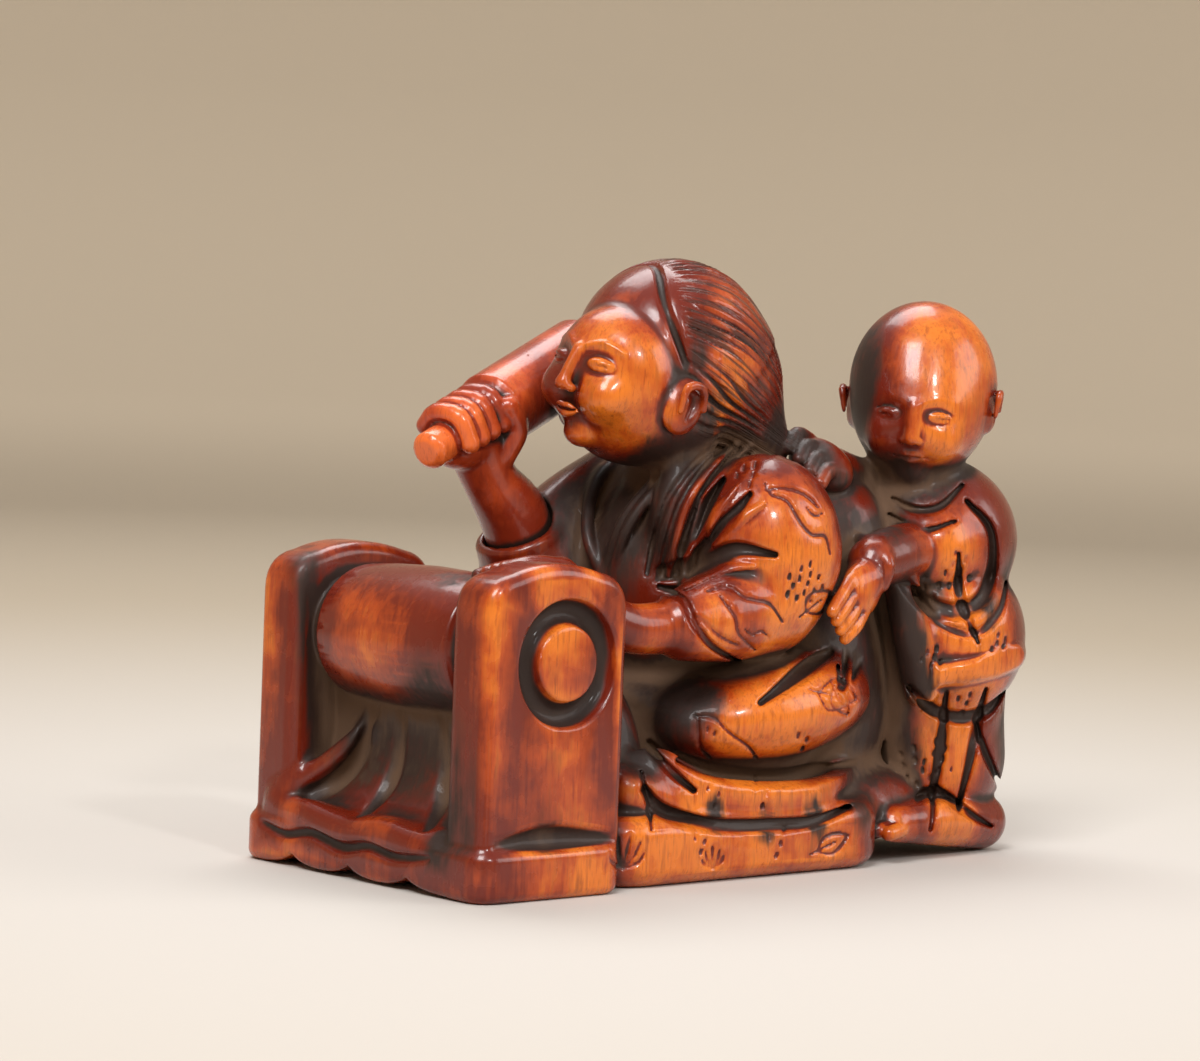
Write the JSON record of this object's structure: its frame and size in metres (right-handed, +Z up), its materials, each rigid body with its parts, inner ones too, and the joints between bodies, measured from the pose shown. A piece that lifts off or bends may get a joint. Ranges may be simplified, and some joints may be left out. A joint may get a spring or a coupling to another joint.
{
  "type": "netsuke",
  "caption": "Carved boxwood netsuke of a kneeling woman beating cloth on a fulling stand, with a child leaning on her back and two cord holes beneath.",
  "frame": {"origin": "centre of the footprint, on the ground", "axes": "+X from the fulling stand towards the child's back, +Z up; the side with the woman's lowered arm is -Y"},
  "size_m": [0.04, 0.0184, 0.0302],
  "materials": {
    "boxwood": "polished, with dark stain in the recesses",
    "boxwood_arm": "polished, smooth and redder"
  },
  "bodies": {
    "root": {"carved_group": "boxwood", "raised_arm_and_mallet": "boxwood_arm"}
  },
  "joints": []
}
